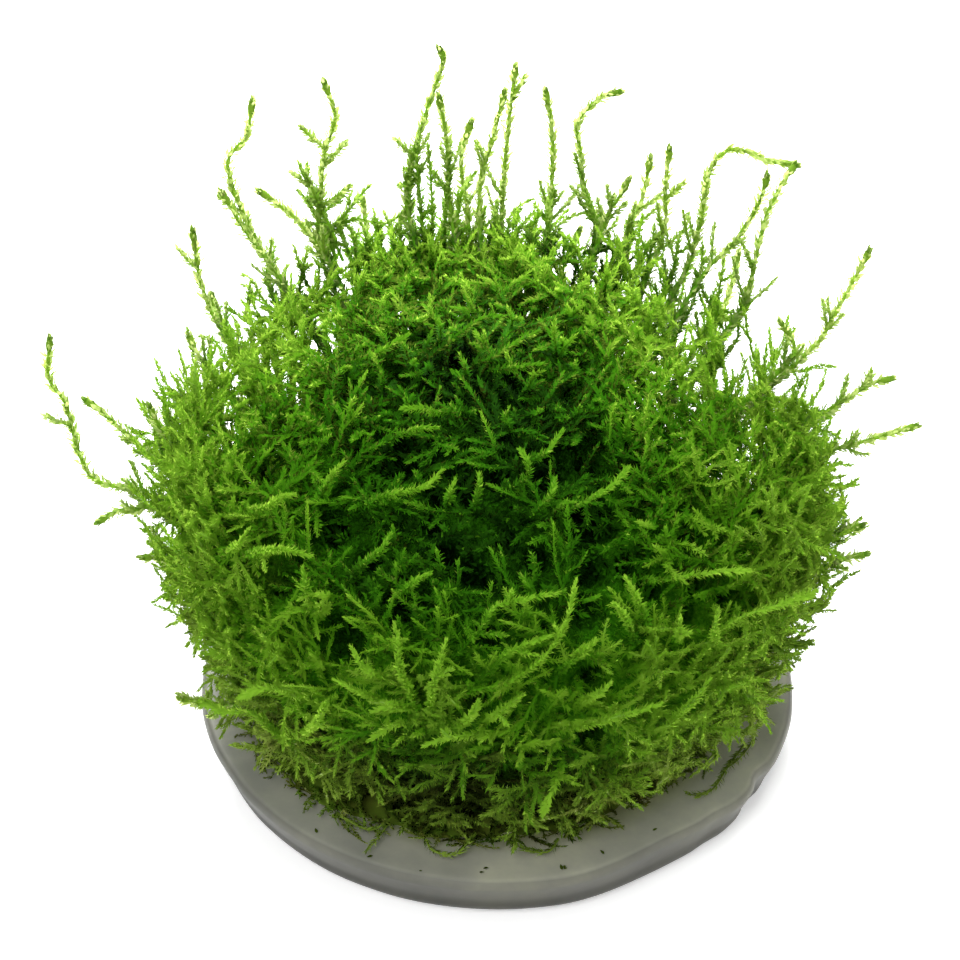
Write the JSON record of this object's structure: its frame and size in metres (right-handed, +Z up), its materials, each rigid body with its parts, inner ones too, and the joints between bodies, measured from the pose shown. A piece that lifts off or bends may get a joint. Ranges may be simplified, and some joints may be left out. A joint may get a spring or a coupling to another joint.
{
  "type": "moss clump",
  "caption": "Round clump of green water moss with long thin shoots, standing on the flat pad of clear growing jelly it grew on.",
  "frame": {"origin": "centre of the jelly pad's flat underside", "axes": "+Z up through the moss; the side with the dented pad edge, seen in the picture, faces -Y; +X is to the right seen from that side"},
  "size_m": [0.1159, 0.1027, 0.0836],
  "materials": {
    "jelly": "wet, cloudy and see-through, with small bubbles",
    "old_growth": "matted, olive brown",
    "leafy_moss": "fine small leaves, fresh green, damp",
    "long_shoots": "pale yellow green with light shining through"
  },
  "bodies": {
    "root": {"gel_pad": "jelly", "old_growth_mat": "old_growth", "moss_mass": "leafy_moss", "long_shoot_01": "long_shoots", "long_shoot_02": "long_shoots", "long_shoot_03": "long_shoots", "long_shoot_04": "long_shoots", "long_shoot_05": "long_shoots", "long_shoot_06": "long_shoots", "long_shoot_07": "long_shoots", "long_shoot_08": "long_shoots", "long_shoot_09": "long_shoots", "long_shoot_10": "long_shoots", "long_shoot_11": "long_shoots", "long_shoot_12": "long_shoots", "long_shoot_13": "long_shoots", "long_shoot_14": "long_shoots", "long_shoot_15": "long_shoots", "long_shoot_16": "long_shoots", "long_shoot_17": "long_shoots", "long_shoot_18": "long_shoots", "long_shoot_19": "long_shoots", "long_shoot_20": "long_shoots", "long_shoot_21": "long_shoots", "long_shoot_22": "long_shoots", "long_shoot_23": "long_shoots", "long_shoot_24": "long_shoots", "long_shoot_25": "long_shoots", "long_shoot_26": "long_shoots", "long_shoot_27": "long_shoots", "long_shoot_28": "long_shoots", "long_shoot_29": "long_shoots", "long_shoot_30": "long_shoots", "long_shoot_31": "long_shoots", "long_shoot_32": "long_shoots", "long_shoot_33": "long_shoots", "long_shoot_34": "long_shoots", "long_shoot_35": "long_shoots"}
  },
  "joints": []
}
